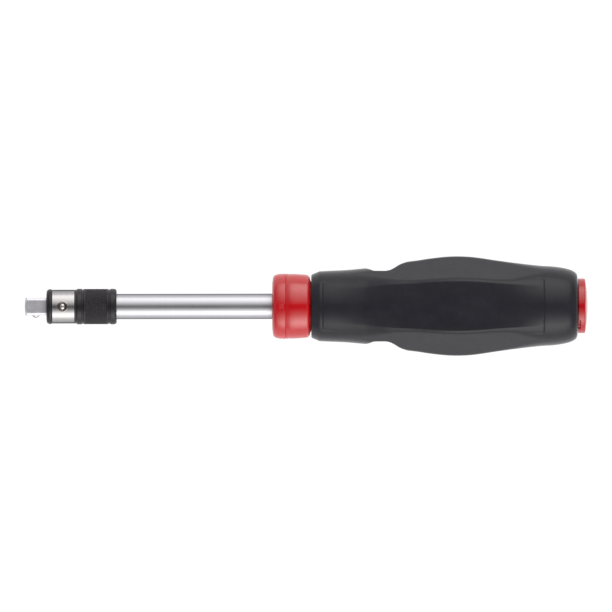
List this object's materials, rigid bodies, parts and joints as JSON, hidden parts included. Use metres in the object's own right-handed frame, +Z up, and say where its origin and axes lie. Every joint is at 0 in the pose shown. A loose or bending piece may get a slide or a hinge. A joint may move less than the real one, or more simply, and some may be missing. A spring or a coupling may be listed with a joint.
{
  "type": "two-in-one ratchet screwdriver",
  "caption": "Ratchet screwdriver with a square drive adaptor in a ball-lock bit chuck, a red direction ring, a hexagonal black grip and a pull-off end cap.",
  "frame": {"origin": "centre of the square drive's flat front face", "axes": "+X along the tool from the square drive to the end cap, +Z up out of one broad flat of the six-sided grip, +Y towards one of the two corners that have a finger notch"},
  "size_m": [0.2, 0.0352, 0.0314],
  "materials": {
    "drive_adaptor": "satin plated steel",
    "drive_ball": "polished bearing ball",
    "drive_ball_spring": "plain spring wire",
    "nose_ring": "black oxide steel",
    "chuck_body": "bright chrome plate",
    "chuck_pin": "plain ground steel",
    "lock_ball": "polished bearing ball",
    "lock_plunger": "plain ground steel",
    "knurled_sleeve": "black oxide steel with a diamond knurl",
    "sleeve_spring": "plain spring wire",
    "spring_washer": "zinc plate",
    "sleeve_circlip": "phosphated spring steel",
    "shaft": "bright chrome plate",
    "selector_ring": "glossy red moulding",
    "ratchet_housing": "plain zinc die casting",
    "front_bush": "sintered bronze",
    "ratchet_gear": "machined steel",
    "gear_circlip": "phosphated spring steel",
    "pawl_left": "machined steel",
    "pawl_right": "machined steel",
    "pawl_pin_left": "plain ground steel",
    "pawl_pin_right": "plain ground steel",
    "pawl_spring_left": "plain spring strip",
    "pawl_spring_right": "plain spring strip",
    "detent_ball": "polished bearing ball",
    "detent_spring": "plain spring wire",
    "thrust_ball": "polished bearing ball",
    "housing_cover": "plain zinc die casting",
    "cover_screw_1": "zinc plate",
    "cover_screw_2": "zinc plate",
    "cover_screw_3": "zinc plate",
    "housing_pin_left": "plain ground steel",
    "housing_pin_right": "plain ground steel",
    "handle_core": "hard dark grey moulding",
    "grip_cover": "soft charcoal black overmould",
    "end_cap": "glossy red moulding"
  },
  "bodies": {
    "handle": {"handle_core": "handle_core", "grip_cover": "grip_cover", "ratchet_housing": "ratchet_housing", "housing_cover": "housing_cover", "cover_screw_1": "cover_screw_1", "cover_screw_2": "cover_screw_2", "cover_screw_3": "cover_screw_3", "housing_pin_left": "housing_pin_left", "housing_pin_right": "housing_pin_right", "front_bush": "front_bush", "pawl_pin_left": "pawl_pin_left", "pawl_pin_right": "pawl_pin_right", "pawl_spring_left": "pawl_spring_left", "pawl_spring_right": "pawl_spring_right", "detent_spring": "detent_spring", "thrust_ball": "thrust_ball"},
    "shaft": {"shaft": "shaft", "ratchet_gear": "ratchet_gear", "gear_circlip": "gear_circlip", "chuck_body": "chuck_body", "chuck_pin": "chuck_pin", "nose_ring": "nose_ring", "spring_washer": "spring_washer", "sleeve_circlip": "sleeve_circlip", "sleeve_spring": "sleeve_spring"},
    "sleeve": {"knurled_sleeve": "knurled_sleeve", "lock_plunger": "lock_plunger"},
    "lock_ball": {"lock_ball": "lock_ball"},
    "adaptor": {"drive_adaptor": "drive_adaptor", "drive_ball_spring": "drive_ball_spring"},
    "drive_ball": {"drive_ball": "drive_ball"},
    "selector": {"selector_ring": "selector_ring"},
    "pawl_left": {"pawl_left": "pawl_left"},
    "pawl_right": {"pawl_right": "pawl_right"},
    "detent_ball": {"detent_ball": "detent_ball"},
    "end_cap": {"end_cap": "end_cap"}
  },
  "joints": [
    {"name": "shaft_spin", "type": "hinge", "parent": "handle", "child": "shaft", "pos_m": [0, 0, 0], "axis": [1, 0, 0], "continuous": true},
    {"name": "sleeve_slide", "type": "slide", "parent": "shaft", "child": "sleeve", "axis": [1, 0, 0], "range_m": [0, 0.003], "stiffness_N_per_m": 600, "springref_m": -0.002, "deforming": ["sleeve_spring"]},
    {"name": "lock_ball_drop", "type": "slide", "parent": "shaft", "child": "lock_ball", "axis": [0, 0, -1], "range_m": [0, 0.00045]},
    {"name": "adaptor_pull", "type": "slide", "parent": "shaft", "child": "adaptor", "axis": [-1, 0, 0], "range_m": [0, 0.02]},
    {"name": "drive_ball_press", "type": "slide", "parent": "adaptor", "child": "drive_ball", "axis": [0, 1, 0], "range_m": [0, 0.0007], "stiffness_N_per_m": 600, "springref_m": -0.0005, "deforming": ["drive_ball_spring"]},
    {"name": "selector_turn", "type": "hinge", "parent": "handle", "child": "selector", "pos_m": [0, 0, 0], "axis": [1, 0, 0], "range_deg": [-12, 12]},
    {"name": "pawl_left_lift", "type": "hinge", "parent": "handle", "child": "pawl_left", "pos_m": [0.108, 0.007, 0], "axis": [1, 0, 0], "range_deg": [-10, 10], "deforming": ["pawl_spring_left"]},
    {"name": "pawl_right_lift", "type": "hinge", "parent": "handle", "child": "pawl_right", "pos_m": [0.108, -0.007, 0], "axis": [1, 0, 0], "range_deg": [-10, 10], "deforming": ["pawl_spring_right"]},
    {"name": "detent_ball_rise", "type": "slide", "parent": "handle", "child": "detent_ball", "axis": [-1, 0, 0], "range_m": [0, 0.0003], "deforming": ["detent_spring"]},
    {"name": "cap_pull", "type": "slide", "parent": "handle", "child": "end_cap", "axis": [1, 0, 0], "range_m": [0, 0.012]}
  ],
  "couplings": [
    {"joint": "pawl_left_lift", "follows": "selector_turn", "ratio": -0.8333},
    {"joint": "pawl_right_lift", "follows": "selector_turn", "ratio": -0.8333}
  ]
}
